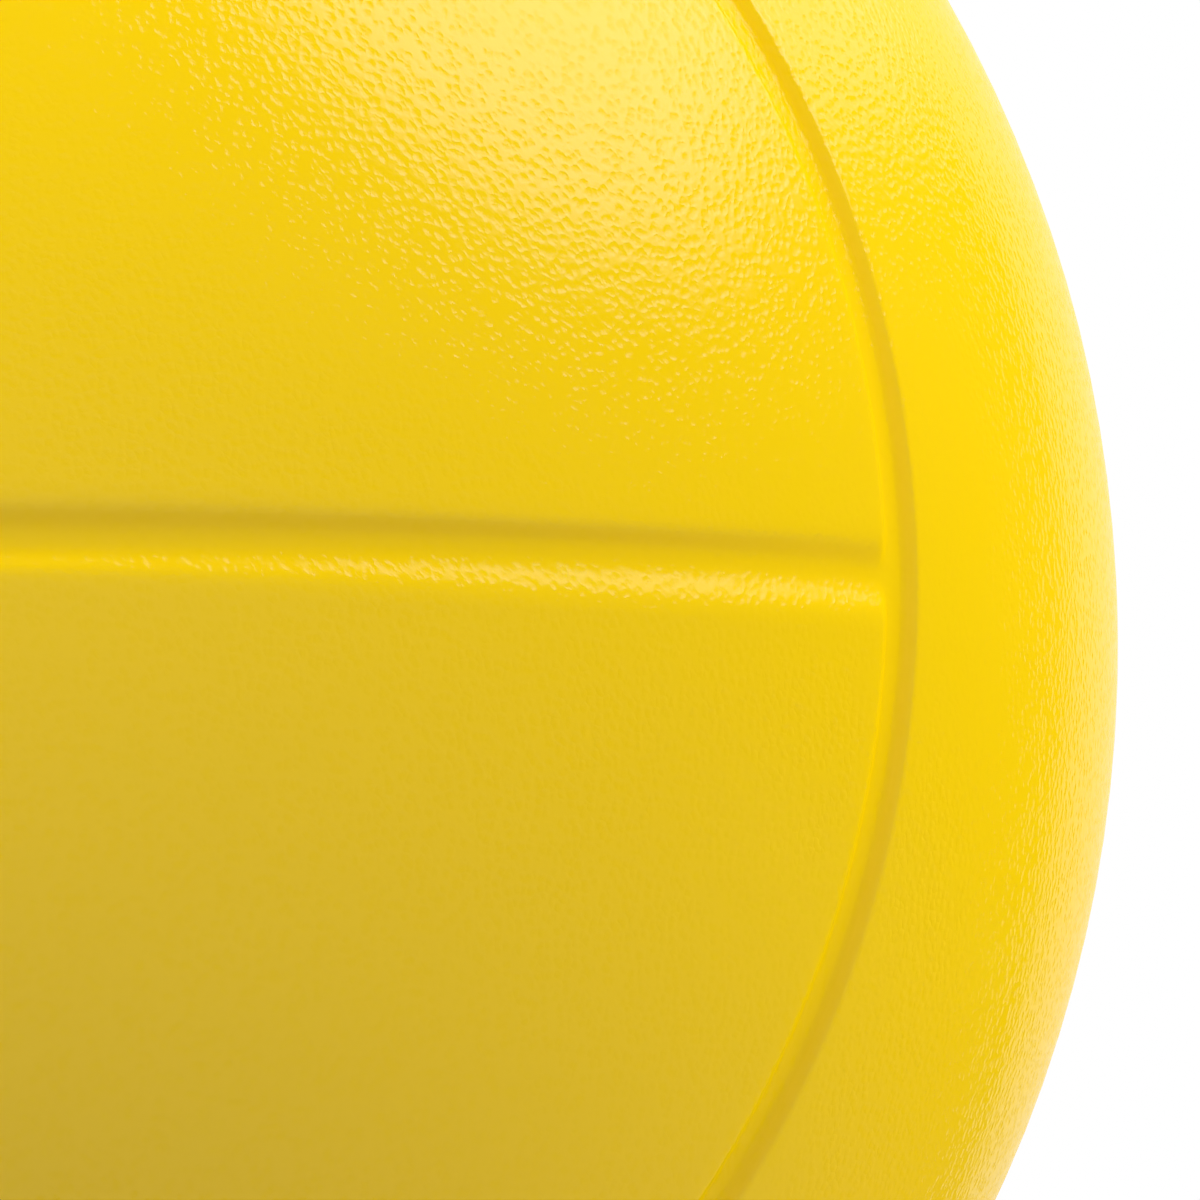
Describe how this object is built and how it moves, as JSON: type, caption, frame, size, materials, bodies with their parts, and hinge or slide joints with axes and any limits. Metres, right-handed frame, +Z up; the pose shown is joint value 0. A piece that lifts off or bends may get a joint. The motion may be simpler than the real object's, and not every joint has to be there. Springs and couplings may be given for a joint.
{
  "type": "foam volleyball",
  "caption": "Soft moulded foam volleyball: a round foam core under a thin grooved skin made as two mould halves, for play and training.",
  "frame": {"origin": "middle of the small flat that the ball settles on, under the ball's centre, at the bottom of its box", "axes": "+Z up, -Y the front side, whose straight groove lies level, +X to the right of it"},
  "size_m": [0.21, 0.21, 0.2095],
  "materials": {
    "skin": "satin moulded polyurethane skin with fine pits",
    "foam": "open fine-celled soft foam"
  },
  "bodies": {
    "root": {"foam_core": "foam", "skin_front_half": "skin", "skin_back_half": "skin"}
  },
  "joints": []
}
